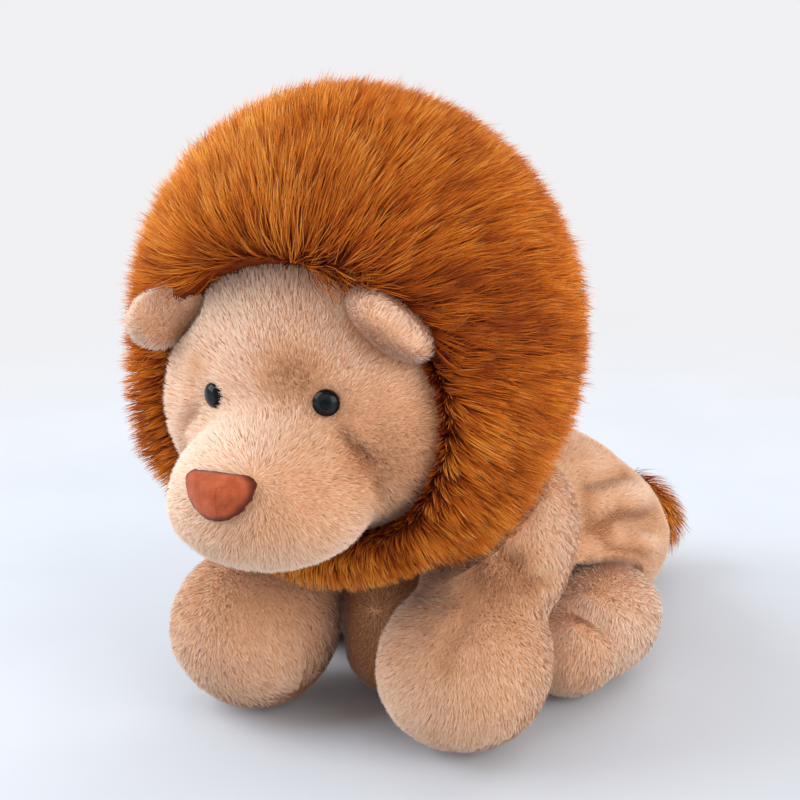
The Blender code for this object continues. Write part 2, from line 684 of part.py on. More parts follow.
class Lion:
    """Builds the parts in one collection and their cutters in another."""

    def __init__(self):
        self.parts = make_collection("plush_lion")
        self.cutters = make_collection("cutters")
        self.neck = self.empty("neck", mane_centre())
        self.face = self.empty("face", Vector((0.0, -HEAD_FORWARD, -HEAD_DROP)), self.neck)
        self.face.rotation_euler = (0.0, -HEAD_ROLL, 0.0)

    def empty(self, name, place, parent=None):
        made = bpy.data.objects.new(name, None)
        made.empty_display_size = EYE_SPREAD
        made.location = place
        made.parent = parent
        self.parts.objects.link(made)
        return made

    def part(self, name, shape, kind, origin=None, parent=None, frame=None):
        """Add a part. Its mesh is moved so that its origin is at the point given."""
        if origin is not None:
            bmesh.ops.translate(shape, verts=shape.verts, vec=-origin)
        made = mesh_object(name, shape, self.parts, kind)
        if origin is not None:
            made.location = origin
        return self.placed(made, parent, frame)

    def cutter(self, name, shape, parent=None, frame=None):
        return self.placed(mesh_object(f"cut {name}", shape, self.cutters), parent, frame)

    def placed(self, made, parent, frame):
        made.parent = parent
        if frame is not None:
            made.matrix_local = frame
        return made

    def build_head(self):
        head = self.part("head", head_shape(), "face_plush", parent=self.face)
        mane = self.part("mane", mane_shape(), "mane_fur", origin=mane_centre())
        mane.location = (0.0, 0.0, 0.0)
        mane.parent = self.neck
        boolean(mane, self.cutter("head seat", head_shape(SEAM_GAP), self.face))
        boolean(mane, self.cutter("face opening", face_opening_shape(), self.face))
        head_wall = self.cutter("head wall", head_shape(SEAM_GAP), self.face)
        muzzle = self.part("muzzle", muzzle_shape(), "face_plush", parent=self.face)
        boolean(muzzle, head_wall)
        nose = self.part("nose", nose_shape(), "nose_felt", parent=self.face)
        boolean(nose, self.cutter("muzzle wall", muzzle_shape(SEAM_GAP), self.face))
        for side in (LEFT, RIGHT):
            self.build_eye(side, head)
            self.build_ear(side, head, mane)

    def build_eye(self, side, head):
        label = side_name(side)
        frame = eye_frame(side)
        self.part(f"eye_{label}", eye_shape(), "eye_gloss", parent=self.face, frame=frame)
        self.part(f"eye_washer_{label}", washer_shape(), "washer_plastic", parent=self.face, frame=frame)
        hole = eye_shape(SEAM_GAP, OVERRUN)
        boolean(head, self.cutter(f"eye hole {label}", hole, self.face, frame))
        pocket = washer_pocket_shape()
        boolean(head, self.cutter(f"washer pocket {label}", pocket, self.face, frame))

    def build_ear(self, side, head, mane):
        label = side_name(side)
        frame = ear_frame(side)
        self.part(f"ear_{label}", ear_shape(), "plush", parent=self.face, frame=frame)
        turns = [Matrix.Rotation(angle, 4, "X") for angle in angle_steps(-EAR_FLAP, EAR_FLAP, 3)]
        for target in (head, mane):
            seat = swept_hull(ear_shape(TURN_GAP), turns)
            boolean(target, self.cutter(f"ear seat {label}", seat, self.face, frame))

    def build_body(self):
        body = self.part("body", body_shape(), "plush")
        boolean(body, self.cutter("mane sweep", mane_sweep_shape(TURN_GAP)))
        for side in (LEFT, RIGHT):
            for shape in (arm_shape, paw_shape):
                seat = swept_hull(shape(side, TURN_GAP), leg_turns(side))
                boolean(body, self.cutter(f"front leg seat {side_name(side)}", seat))
            for shape in (thigh_shape, foot_shape):
                seat = swept_hull(shape(side, TURN_GAP), hind_turns(side))
                boolean(body, self.cutter(f"hind leg seat {side_name(side)}", seat))
        facet_share = math.cos(math.pi / ROUND_SEGMENTS)
        radius = (TAIL_RADIUS + TURN_GAP) / facet_share
        socket = turned_mesh(
            [(0.0, TAIL_SEAT + OVERRUN), (radius, TAIL_SEAT + OVERRUN), (radius, 0.0), (0.0, 0.0)],
            ROUND_SEGMENTS,
        )
        seat_place = Vector((0.0, RUMP_BACK - TAIL_SEAT, TAIL_HEIGHT))
        frame = Matrix.Translation(seat_place) @ Matrix.Rotation(-math.pi / 2, 4, "X")
        boolean(body, self.cutter("tail socket", socket, frame=frame))
        self.rest_on_table(body)

    def rest_on_table(self, made):
        """Cut flat what the table presses up."""
        reach = Vector((RUMP_BACK, RUMP_BACK + MANE_RADIUS, 0.0)) * 2
        table = box_shape(-reach - Vector((0.0, 0.0, OVERRUN)), reach)
        boolean(made, self.cutter(f"table under {made.name}", table))

    def build_front_leg(self, side):
        label = side_name(side)
        leg = self.part(f"front_leg_{label}", paw_shape(side), "paw_plush", origin=shoulder_centre(side))
        boolean(leg, self.cutter(f"arm {label}", arm_shape(side)), "UNION")
        turns = leg_turns(side, -LEG_LIFT, LEG_BACK)
        mane = swept_hull(mane_sweep_shape(TURN_GAP), turns)
        boolean(leg, self.cutter(f"mane over leg {label}", mane))
        self.rest_on_table(leg)

    def build_hind_leg(self, side):
        label = side_name(side)
        leg = self.part(f"hind_leg_{label}", thigh_shape(side), "plush", origin=hip_centre(side))
        foot = self.part(f"hind_foot_{label}", foot_shape(side), "paw_plush", parent=leg)
        foot.location = -hip_centre(side)
        boolean(foot, self.cutter(f"thigh wall {label}", thigh_shape(side, SEAM_GAP)))
        turns = [back @ front for back in hind_back_turns(side) for front in leg_turns(side)]
        for shape in (arm_shape, paw_shape):
            seat = swept_hull(shape(side, TURN_GAP), turns)
            boolean(foot, self.cutter(f"front leg by foot {label}", seat))
        for made in (leg, foot):
            self.rest_on_table(made)

    def build_tail(self):
        tail = self.part("tail", tail_tube(self.cutters), "plush", origin=tail_root())
        boolean(tail, self.cutter("tuft wall", tuft_shape(SEAM_GAP)))
        self.part("tail_tuft", tuft_shape(), "mane_fur", origin=tail_root())


def main():
    clear_scene()
    lion = Lion()
    lion.build_head()
    lion.build_body()
    for side in (LEFT, RIGHT):
        lion.build_front_leg(side)
        lion.build_hind_leg(side)
    lion.build_tail()


main()
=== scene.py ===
"""The looks of a stuffed plush lion: padded skins, long mane fur and short pile.

Every stuffed solid of the frame is replaced by a smooth padded skin, and fur is
grown on the skins as tapered blades that follow a combed direction. A blade's
UV holds its tone across and its place from root to tip upwards, and the fur's
materials are painted by that.
"""

import math

import bmesh
import bpy
import numpy as np
from mathutils import Matrix, Vector
from mathutils.bvhtree import BVHTree
from mathutils.kdtree import KDTree


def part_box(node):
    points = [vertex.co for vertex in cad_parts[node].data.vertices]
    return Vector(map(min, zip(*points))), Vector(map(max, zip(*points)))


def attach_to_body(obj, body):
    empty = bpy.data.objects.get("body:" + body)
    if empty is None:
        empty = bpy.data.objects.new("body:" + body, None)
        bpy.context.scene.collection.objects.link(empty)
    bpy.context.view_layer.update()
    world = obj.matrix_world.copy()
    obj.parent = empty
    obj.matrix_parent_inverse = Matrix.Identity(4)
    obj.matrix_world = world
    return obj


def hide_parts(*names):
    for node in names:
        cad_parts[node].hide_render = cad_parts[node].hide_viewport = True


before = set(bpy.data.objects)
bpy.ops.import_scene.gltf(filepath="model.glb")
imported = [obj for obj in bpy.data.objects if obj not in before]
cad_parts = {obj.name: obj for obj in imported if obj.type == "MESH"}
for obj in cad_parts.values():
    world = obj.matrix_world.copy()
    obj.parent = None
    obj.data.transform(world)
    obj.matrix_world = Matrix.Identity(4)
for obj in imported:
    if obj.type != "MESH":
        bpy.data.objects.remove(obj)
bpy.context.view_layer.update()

AHEAD = np.array([0.0, -1.0, 0.0])  # the way that the lion faces

# Camera
CAMERA_AZIMUTH = math.radians(30.0)
CAMERA_PITCH = math.radians(16.0)
CAMERA_VIEW = math.radians(26.0)
CAMERA_HEIGHT = 0.47
CAMERA_BACK = 0.936  # from the mane's centre, level
CAMERA_ASIDE = 0.027  # the mane's centre is this far left of the view's middle

# The room: where the floor starts to turn white and where it is white, and the room's light and look
FLOOR_NEAR = 0.30
FLOOR_FAR = 1.10
ROOM_LIGHT = 0.74
ROOM_SEEN = 0.87

# Places taken from the frame
MANE_LOW, MANE_HIGH = (np.array(corner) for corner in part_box("mane"))
MANE_AXIS_Y = -0.160
MANE_CENTRE = np.array([0.0, MANE_AXIS_Y, (MANE_LOW[2] + MANE_HIGH[2]) / 2])
MANE_RADIUS = (MANE_HIGH[0] - MANE_LOW[0]) / 2
MANE_HALF_HEIGHT = (MANE_HIGH[2] - MANE_LOW[2]) / 2

# Where the fur of the mane, the muzzle and the forehead is combed away from
MANE_WHORL = np.array([0.006, -0.300, 0.238])
MUZZLE_WHORL = np.array([0.024, -0.300, 0.204])
FACE_AHEAD = np.array([0.0, -0.335, 0.202])

# Fur and skins
MANE_PILE = 0.032
MANE_DROOP = 0.24
SHORT_PILE = 0.0048
MANE_SINK = 0.018  # how far the mane's backing lies inside the fur's outer surface
MANE_FRONT = 0.094  # from the mane's centre to the front of its backing
POCKET_DEPTH = 0.060  # of the pocket that the face sits in, behind the backing's front
SKIN_INSET = 0.0022  # how far a short-pile skin lies inside its solid
SKIN_SWELL_SHARE = 0.35  # of a voxel, added before a skin is remeshed and taken off after
FILLING_ROOM = 0.0014  # room left for the filling to swell a skin
FILLING_MOST = 0.0040  # and the most that it moves the skin
FILLING_PRESSURE = 4.0
FILLING_STEPS = 20
MOST_FACES = 190000  # of one piece of fur
GROUND_ROOM = 0.0004  # between fur and floor
GUARD_LENGTH_SHARE = 1.16  # guard hairs are longer, thinner and paler
GUARD_WIDTH_SHARE = 0.6
# The guard hairs' paler tone is partly a painted highlight on the tips of the fur
GUARD_TONE = 0.25

# The roll of backing along the seam between mane and face
SEAM_CENTRE = np.array([0.005, -0.213, 0.2125])
SEAM_REACH = np.array([0.093, 0.0, 0.0845])
SEAM_ROLL = 0.008  # the roll's radius
SEAM_CLOSE = 0.0025  # how much closer to the cheeks it lies below
SEAM_AHEAD = 0.0010  # and how much further forward
SEAM_LOW = (0.150, 0.220)  # the heights over which its lower half ends

# The lock of the fringe that hangs beside the near ear: place, reach and share, and its direction
FRINGE_LOCK = (((0.044, -0.222, 0.289), 0.013, 1.0),)
LOCK_DIRECTION = (0.30, -0.70, -0.80)

# Forms that the photograph shows a little apart from the solids
FAR_EAR_SHARE = 0.86  # of the far ear's width, drawn in towards its outer edge
FAR_EAR_SHIFT = 0.0030
FAR_EAR_TUCK = 0.018  # how far its inner half lies back in the seam
ARM_SWELL = 0.0045  # of the arms' outer sides

# The nose: how it spreads and wraps round the muzzle, and the stitches down its middle
NOSE_SPREAD_SHARES = np.array([1.27, 1.0, 1.10])
NOSE_HALF_WIDTH = 0.0238
NOSE_WRAP = 0.0040
NOSE_SHIFT = np.array([0.0032, -0.0012, 0.0])
NOSE_SEAM_X = 0.0082
NOSE_SEAM_HEIGHTS = (0.1935, 0.1738)
STITCH_RADIUS = 0.00022

# The eyes' domes, in shares of their radius
EYE_SIZE_SHARE = 0.94
EYE_DOME_SHARE = 0.55
EYE_EDGE_SHARE = 0.25
EYE_SINK_SHARES = {"left": 0.12, "right": 0.46}

# Seams and folds of the left side: points, depth and width
MUZZLE_CREASES = (
    (((0.041, -0.247, 0.213), (0.051, -0.243, 0.204), (0.057, -0.239, 0.197), (0.060, -0.236, 0.188)),
     0.0024, 0.0040),
    (((0.058, -0.237, 0.187), (0.059, -0.232, 0.178), (0.057, -0.227, 0.168)), 0.0016, 0.0036),
)
BODY_FOLDS = (
    (((0.078, -0.016, 0.127), (0.082, 0.005, 0.123), (0.084, 0.036, 0.117), (0.080, 0.072, 0.112)),
     0.0056, 0.0080),
    (((0.089, -0.034, 0.101), (0.096, -0.014, 0.099), (0.101, 0.004, 0.097), (0.100, 0.040, 0.087),
      (0.095, 0.080, 0.078)), 0.0078, 0.0080),
    (((0.088, -0.026, 0.114), (0.091, -0.015, 0.111)), 0.0030, 0.0110),
    (((0.101, 0.002, 0.091), (0.101, 0.040, 0.080), (0.099, 0.066, 0.070)), 0.0044, 0.0070),
    (((0.096, -0.024, 0.086), (0.100, -0.004, 0.082), (0.104, 0.020, 0.070), (0.104, 0.045, 0.058)),
     0.0060, 0.0075),
)
PAW_SEAMS = (
    (((0.080, -0.166, 0.091), (0.079, -0.182, 0.085), (0.079, -0.195, 0.072), (0.081, -0.202, 0.055)),
     0.0010, 0.0040),
)
ARM_FOLDS = (
    (((0.083, -0.139, 0.119), (0.094, -0.144, 0.120), (0.101, -0.139, 0.117)), 0.0036, 0.0056),
    (((0.100, -0.145, 0.108), (0.108, -0.132, 0.106), (0.111, -0.118, 0.104)), 0.0030, 0.0050),
    (((0.103, -0.142, 0.101), (0.108, -0.130, 0.090)), 0.0018, 0.0040),
)
FOOT_FOLDS = (
    (((0.090, -0.066, 0.068), (0.104, -0.066, 0.065), (0.115, -0.063, 0.058), (0.122, -0.060, 0.048),
      (0.127, -0.054, 0.036)), 0.0038, 0.0056),
)

# A line of painted shadow on the face along the near ear, painted only and not pressed
EAR_SHADES = (
    (((0.052, -0.244, 0.281), (0.064, -0.250, 0.276), (0.073, -0.250, 0.267), (0.080, -0.240, 0.256)),
     0.0040, 0.0060),
)

# The share of a fold's depth by which its sides swell, and how many widths away, pressed into the skin and
# painted, as painted shade in the fold and painted light on its sides
PRESSED_RIDGE = (0.45, 2.1)
SHADED_RIDGE = (0.30, 2.4)
SHADED_WIDTH_SHARE = 0.8
# The pile is painted darker in a fold's bottom as painted shade, and lighter on its ridges as painted light
CREASE_SHADE = 84.0  # how much darker the pile is along a fold, for each metre of its depth

# Where fur is painted darker or lighter, mostly as painted shade where it lies in shade and painted light
# where it is lit, with some of the fur's own tone: its place, its reach and how much
MANE_SHADING_SPOTS = (
    ((0.010, -0.253, 0.313), 0.030, -0.20),
    ((0.108, -0.210, 0.270), 0.040, -0.16),
    ((0.000, -0.222, 0.298), 0.022, 0.30),
    ((0.058, -0.243, 0.308), 0.020, -0.14),
    ((0.092, -0.228, 0.288), 0.030, -0.24),
    ((0.108, -0.220, 0.262), 0.026, -0.08),
    ((-0.088, -0.232, 0.262), 0.024, -0.08),
    ((0.125, -0.185, 0.240), 0.050, -0.14),
    ((0.020, -0.210, 0.120), 0.050, 0.24),
    ((0.042, -0.222, 0.290), 0.014, 0.24),
    ((0.076, -0.238, 0.285), 0.010, 0.10),
    ((-0.056, -0.215, 0.343), 0.060, 0.22),
    ((0.094, -0.230, 0.225), 0.026, 0.22),
)
FACE_SHADING_SPOTS = (
    ((0.012, -0.248, 0.2385), 0.014, -0.56),
    ((0.027, -0.247, 0.2375), 0.010, -0.40),
    ((-0.046, -0.243, 0.234), 0.009, -0.40),
    ((-0.052, -0.243, 0.217), 0.007, -0.16),
    ((0.047, -0.244, 0.222), 0.010, -0.10),
    ((0.054, -0.241, 0.199), 0.010, -0.44),
    ((0.073, -0.230, 0.200), 0.034, -0.44),
    ((0.045, -0.275, 0.188), 0.022, -0.15),
    ((0.006, -0.285, 0.216), 0.022, 0.26),
    ((-0.026, -0.276, 0.196), 0.028, 0.34),
    ((-0.030, -0.235, 0.265), 0.050, 0.26),
)
LEG_SHADING_SPOTS = (
    ((0.092, -0.148, 0.114), 0.019, -0.50),
    ((0.102, -0.140, 0.104), 0.012, -0.20),
    ((0.082, -0.158, 0.112), 0.016, -0.34),
    ((0.098, -0.118, 0.142), 0.026, 0.22),
    ((0.079, -0.192, 0.074), 0.010, -0.14),
)
BODY_SHADING_SPOTS = (
    ((0.090, -0.020, 0.110), 0.014, -0.26),
    ((0.097, -0.012, 0.098), 0.010, -0.20),
    # painted shadow under the mane, between the front legs
    ((0.020, -0.170, 0.050), 0.060, -0.90),
)
FAR_LEG_SHADING_SPOTS = (((-0.050, -0.180, 0.100), 0.030, -0.34),)
FOOT_SHADING_SPOTS = (((0.096, -0.070, 0.026), 0.032, -0.44),)

FINE = 1.0  # the share of blades that is grown


def srgb(*channels):
    """A colour of the photograph, given in 0 to 255, as linear light."""
    shares = np.array(channels) / 255.0
    linear = np.where(shares <= 0.04045, shares / 12.92, ((shares + 0.055) / 1.055) ** 2.4)
    return (*linear.tolist(), 1.0)


def unit(vectors):
    lengths = np.linalg.norm(vectors, axis=-1, keepdims=True)
    return vectors / np.maximum(lengths, 1e-9)


def along_surface(vectors, normals):
    """The part of each vector that lies in the surface, at unit length."""
    across = np.sum(vectors * normals, axis=1, keepdims=True)
    return unit(vectors - normals * across)


def smooth_step(low, high, values):
    share = np.clip((values - low) / (high - low), 0.0, 1.0)
    return share * share * (3.0 - 2.0 * share)


def link(made):
    bpy.context.scene.collection.objects.link(made)
    return made


class Nodes:
    """Short names for building a node material."""

    def __init__(self, name):
        self.material = bpy.data.materials.new(name)
        self.material.use_nodes = True
        self.tree = self.material.node_tree
        self.shader = self.tree.nodes["Principled BSDF"]

    def add(self, kind, **values):
        node = self.tree.nodes.new(kind)
        for key, value in values.items():
            setattr(node, key, value)
        return node

    def join(self, source, target):
        self.tree.links.new(source, target)

    def give(self, value, target):
        """Join a socket to an input, or set the input to a value."""
        if isinstance(value, bpy.types.NodeSocket):
            self.join(value, target)
        else:
            target.default_value = value

    def set(self, **values):
        for key, value in values.items():
            self.shader.inputs[key.replace("_", " ")].default_value = value

    def ramp(self, factor, stops):
        node = self.add("ShaderNodeValToRGB")
        ramp = node.color_ramp
        while len(ramp.elements) < len(stops):
            ramp.elements.new(0.5)
        for element, (place, colour) in zip(ramp.elements, stops):
            element.position = place
            element.color = colour
        self.join(factor, node.inputs["Fac"])
        return node.outputs["Color"]

    def mix(self, factor, first, second, blend="MIX"):
        node = self.add("ShaderNodeMix", data_type="RGBA", blend_type=blend)
        for value, socket in ((factor, node.inputs[0]), (first, node.inputs[6]), (second, node.inputs[7])):
            self.give(value, socket)
        return node.outputs[2]

    def place(self):
        return self.add("ShaderNodeTexCoord").outputs["Object"]

    def vector(self, operation, first, second=None):
        """The outputs of a vector operation on a socket."""
        node = self.add("ShaderNodeVectorMath", operation=operation)
        self.join(first, node.inputs[0])
        if second is not None:
            node.inputs[1].default_value = tuple(second)
        return node.outputs

    def scalar(self, operation, first, second):
        node = self.add("ShaderNodeMath", operation=operation)
        self.join(first, node.inputs[0])
        self.give(second, node.inputs[1])
        return node.outputs[0]

    def share(self, value, low, high, **values):
        """How far a value lies from low to high."""
        node = self.add("ShaderNodeMapRange", **values)
        node.inputs["From Min"].default_value = low
        node.inputs["From Max"].default_value = high
        self.join(value, node.inputs["Value"])
        return node.outputs["Result"]

    def noise(self, scale, detail=3.0, roughness=0.5):
        node = self.add("ShaderNodeTexNoise")
        node.inputs["Scale"].default_value = scale
        node.inputs["Detail"].default_value = detail
        node.inputs["Roughness"].default_value = roughness
        self.join(self.place(), node.inputs["Vector"])
        return node.outputs["Fac"]

    def bump(self, height, strength, distance):
        node = self.add("ShaderNodeBump")
        node.inputs["Strength"].default_value = strength
        node.inputs["Distance"].default_value = distance
        self.join(height, node.inputs["Height"])
        self.join(node.outputs["Normal"], self.shader.inputs["Normal"])


def fur_material(name, places, colours, roughness, specular, sheen):
    """Fur painted by its UV: from dark to light across, from root to tip upwards.

    colours has the dark, middle and light fur's colours at each of the places.
    The tone across holds the fur's own tone together with painted shade and light,
    and the colours run darker towards the root as painted shade down among the
    blades and paler towards the tip, partly as painted light on the tips.
    """
    nodes = Nodes(name)
    uv = nodes.add("ShaderNodeUVMap", uv_map="OFBake")
    split = nodes.add("ShaderNodeSeparateXYZ")
    nodes.join(uv.outputs["UV"], split.inputs[0])
    dark, middle, light = (
        nodes.ramp(split.outputs["Y"], [(place, srgb(*colour)) for place, colour in zip(places, row)])
        for row in colours
    )
    lower = nodes.share(split.outputs["X"], 0.0, 0.5)
    upper = nodes.share(split.outputs["X"], 0.5, 1.0)
    colour = nodes.mix(upper, nodes.mix(lower, dark, middle), light)
    nodes.join(colour, nodes.shader.inputs["Base Color"])
    nodes.set(Roughness=roughness, Specular_IOR_Level=specular, Sheen_Weight=sheen, Sheen_Roughness=0.5)
    return nodes.material


def skin_material(name, dark, light, sheen=0.2):
    nodes = Nodes(name)
    colour = nodes.ramp(nodes.noise(180.0, 4.0), [(0.3, dark), (0.7, light)])
    nodes.join(colour, nodes.shader.inputs["Base Color"])
    nodes.set(Roughness=0.95, Specular_IOR_Level=0.1, Sheen_Weight=sheen)
    nodes.bump(nodes.noise(900.0, 2.0), 0.5, 0.001)
    return nodes.material


def nose_material():
    nodes = Nodes("nose_velour")
    colour = nodes.ramp(nodes.noise(90.0, 6.0, 0.65), [
        (0.30, srgb(138, 60, 34)),
        (0.52, srgb(170, 82, 50)),
        (0.80, srgb(192, 102, 68)),
    ])
    edge = nodes.add("ShaderNodeAttribute", attribute_name="edge_shade")
    colour = nodes.mix(edge.outputs["Fac"], colour, srgb(84, 34, 22))
    nodes.join(colour, nodes.shader.inputs["Base Color"])
    nodes.set(Roughness=0.85, Specular_IOR_Level=0.15, Sheen_Weight=0.15, Sheen_Roughness=0.4)
    nodes.bump(nodes.noise(1600.0, 3.0), 0.35, 0.0006)
    return nodes.material


def eye_material(centre, axis, radius):
    """Glossy black with a ring a little lighter, by the distance from the eye's axis."""
    nodes = Nodes("eye_black")
    offset = nodes.vector("SUBTRACT", nodes.place(), centre)[0]
    across = nodes.vector("CROSS_PRODUCT", offset, axis)[0]
    share = nodes.scalar("DIVIDE", nodes.vector("LENGTH", across)["Value"], radius)
    colour = nodes.ramp(share, [
        (0.0, srgb(3, 3, 4)),
        (0.34, srgb(4, 4, 5)),
        (0.46, srgb(20, 23, 27)),
        (0.70, srgb(27, 30, 35)),
        (0.80, srgb(4, 4, 5)),
    ])
    nodes.join(colour, nodes.shader.inputs["Base Color"])
    nodes.set(Roughness=0.14, Specular_IOR_Level=0.18)
    return nodes.material


def washer_material():
    nodes = Nodes("washer_white")
    colour = nodes.ramp(nodes.noise(300.0), [(0.4, srgb(222, 222, 218)), (0.6, srgb(236, 236, 232))])
    nodes.join(colour, nodes.shader.inputs["Base Color"])
    nodes.set(Roughness=0.4)
    return nodes.material


def make_object(name, shape, smooth=True):
    """An object of a shape, which is freed."""
    mesh = bpy.data.meshes.new(name)
    shape.to_mesh(mesh)
    shape.free()
    if smooth:
        mesh.shade_smooth()
    return link(bpy.data.objects.new(name, mesh))


def apply_modifiers(made):
    bpy.context.view_layer.update()
    deps = bpy.context.evaluated_depsgraph_get()
    mesh = bpy.data.meshes.new_from_object(made.evaluated_get(deps))
    old = made.data
    made.modifiers.clear()
    made.data = mesh
    bpy.data.meshes.remove(old)
    mesh.name = made.name


def solid_copy(name, nodes):
    """One object that holds copies of some of the frame's solids."""
    shape = bmesh.new()
    for node in nodes:
        shape.from_mesh(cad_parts[node].data)
    bmesh.ops.remove_doubles(shape, verts=shape.verts, dist=1e-5)
    return make_object(name, shape, smooth=False)


def padded_skin(name, nodes, voxel, inset, smoothing):
    """A smooth padded skin round some solids, a little inside their surface."""
    made = solid_copy(name, nodes)
    swell = voxel * SKIN_SWELL_SHARE

    def displace(strength):
        modifier = made.modifiers.new("displace", "DISPLACE")
        modifier.mid_level = 0.0
        modifier.strength = strength

    def smooth(rounds):
        modifier = made.modifiers.new("smooth", "SMOOTH")
        modifier.factor = 0.5
        modifier.iterations = rounds

    displace(swell)
    remesh = made.modifiers.new("remesh", "REMESH")
    remesh.mode = "VOXEL"
    remesh.voxel_size = voxel
    smooth(smoothing)
    displace(-inset - swell)
    smooth(3)
    apply_modifiers(made)
    made.data.shade_smooth()
    return made


def read_points(made):
    vertices = made.data.vertices
    points, normals = np.empty((2, len(vertices) * 3))
    vertices.foreach_get("co", points)
    vertices.foreach_get("normal", normals)
    return points.reshape(-1, 3), normals.reshape(-1, 3)


def write_points(made, points):
    made.data.vertices.foreach_set("co", points.ravel())
    made.data.update()


def line_measure(points, line):
    """The distance from each point to a line of straight runs, and how far along the line it lies."""
    line = np.array(line)
    runs = line[1:] - line[:-1]
    lengths = np.linalg.norm(runs, axis=1)
    best = np.full(len(points), 1e9)
    along = np.zeros(len(points))
    for index, (start, run, length) in enumerate(zip(line[:-1], runs, lengths)):
        share = np.clip((points - start) @ run / length ** 2, 0.0, 1.0)
        away = np.linalg.norm(points - start - share[:, None] * run, axis=1)
        near = away < best
        best = np.where(near, away, best)
        along = np.where(near, (lengths[:index].sum() + share * length) / lengths.sum(), along)
    return best, along


def fold_profile(points, line, width, ridge, ridge_place):
    """1 in the bottom of a fold and below zero on the ridges beside it, fading towards its ends."""
    away, along = line_measure(points, line)
    away = away / width
    fade = smooth_step(-0.08, 0.22, along) * (1.0 - 0.9 * smooth_step(0.50, 1.0, along))
    return (np.exp(-away ** 2) - ridge * np.exp(-(away - ridge_place) ** 2)) * fade


def on_skin(made, line):
    """The line's points moved to the nearest places on a skin."""
    shape = bmesh.new()
    shape.from_mesh(made.data)
    tree = BVHTree.FromBMesh(shape)
    shape.free()
    return [tuple(tree.find_nearest(Vector(point))[0]) for point in line]


def press_crease(made, line, depth, width):
    """Press a fold or seam into a skin, with the padding swelling beside it."""
    points, normals = read_points(made)
    dent = -depth * fold_profile(points, on_skin(made, line), width, *PRESSED_RIDGE)
    write_points(made, points + normals * dent[:, None])


def near_lines(points, creases):
    """Which points lie in the bottom of a seam or fold."""
    held = np.zeros(len(points))
    for line, _, width in creases:
        away, _ = line_measure(points, line)
        held = np.maximum(held, 1.0 - smooth_step(width * 0.5, width * 1.1, away))
    return held


def fill_skin(made, creases):
    """Swell a sewn skin with its filling, as cloth under pressure that its seams hold back."""
    rest, normals = read_points(made)
    group = made.vertex_groups.new(name="seams")
    sunk = [(on_skin(made, line), depth, width) for line, depth, width in creases]
    for index, weight in enumerate(near_lines(rest, sunk)):
        if weight > 0.02:
            group.add([index], float(weight), "REPLACE")
    cloth = made.modifiers.new("filling", "CLOTH")
    settings = cloth.settings
    settings.quality = 4
    settings.mass = 0.3
    settings.use_pressure = True
    settings.uniform_pressure_force = FILLING_PRESSURE
    settings.effector_weights.gravity = 0.0
    settings.vertex_group_mass = "seams"
    cloth.collision_settings.use_collision = False
    cloth.point_cache.frame_start = 1
    cloth.point_cache.frame_end = FILLING_STEPS
    scene = bpy.context.scene
    for step in range(FILLING_STEPS):
        scene.frame_set(step + 1)
    apply_modifiers(made)
    scene.frame_set(1)
    swollen, _ = read_points(made)
    move = swollen - rest
    size = np.linalg.norm(move, axis=1, keepdims=True)
    move = move * np.minimum(1.0, FILLING_MOST / np.maximum(size, 1e-9))
    write_points(made, rest + move)
    made.modifiers.new("finer", "SUBSURF").levels = 1
    apply_modifiers(made)
    made.data.shade_smooth()


def surface_samples(made, total, rng):
    """Evenly spread points on a mesh, with their normals."""
    mesh = made.data
    mesh.calc_loop_triangles()
    corners = np.empty(len(mesh.loop_triangles) * 3, dtype=np.int64)
    mesh.loop_triangles.foreach_get("vertices", corners)
    corners = corners.reshape(-1, 3)
    points, normals = read_points(made)
    first, second, third = (points[corners[:, index]] for index in range(3))
    areas = np.linalg.norm(np.cross(second - first, third - first), axis=1) / 2
    reach = np.cumsum(areas)
    places = (np.arange(total) + rng.random(total)) / total * reach[-1]
    chosen = np.minimum(np.searchsorted(reach, places), len(areas) - 1)
    across = np.sqrt(rng.random(total))
    along = rng.random(total)
    weights = np.stack([1.0 - across, across * (1.0 - along), across * along], axis=1)
    triangle = corners[chosen]
    roots = sum(points[triangle[:, index]] * weights[:, index:index + 1] for index in range(3))
    facing = sum(normals[triangle[:, index]] * weights[:, index:index + 1] for index in range(3))
    return roots, unit(facing)


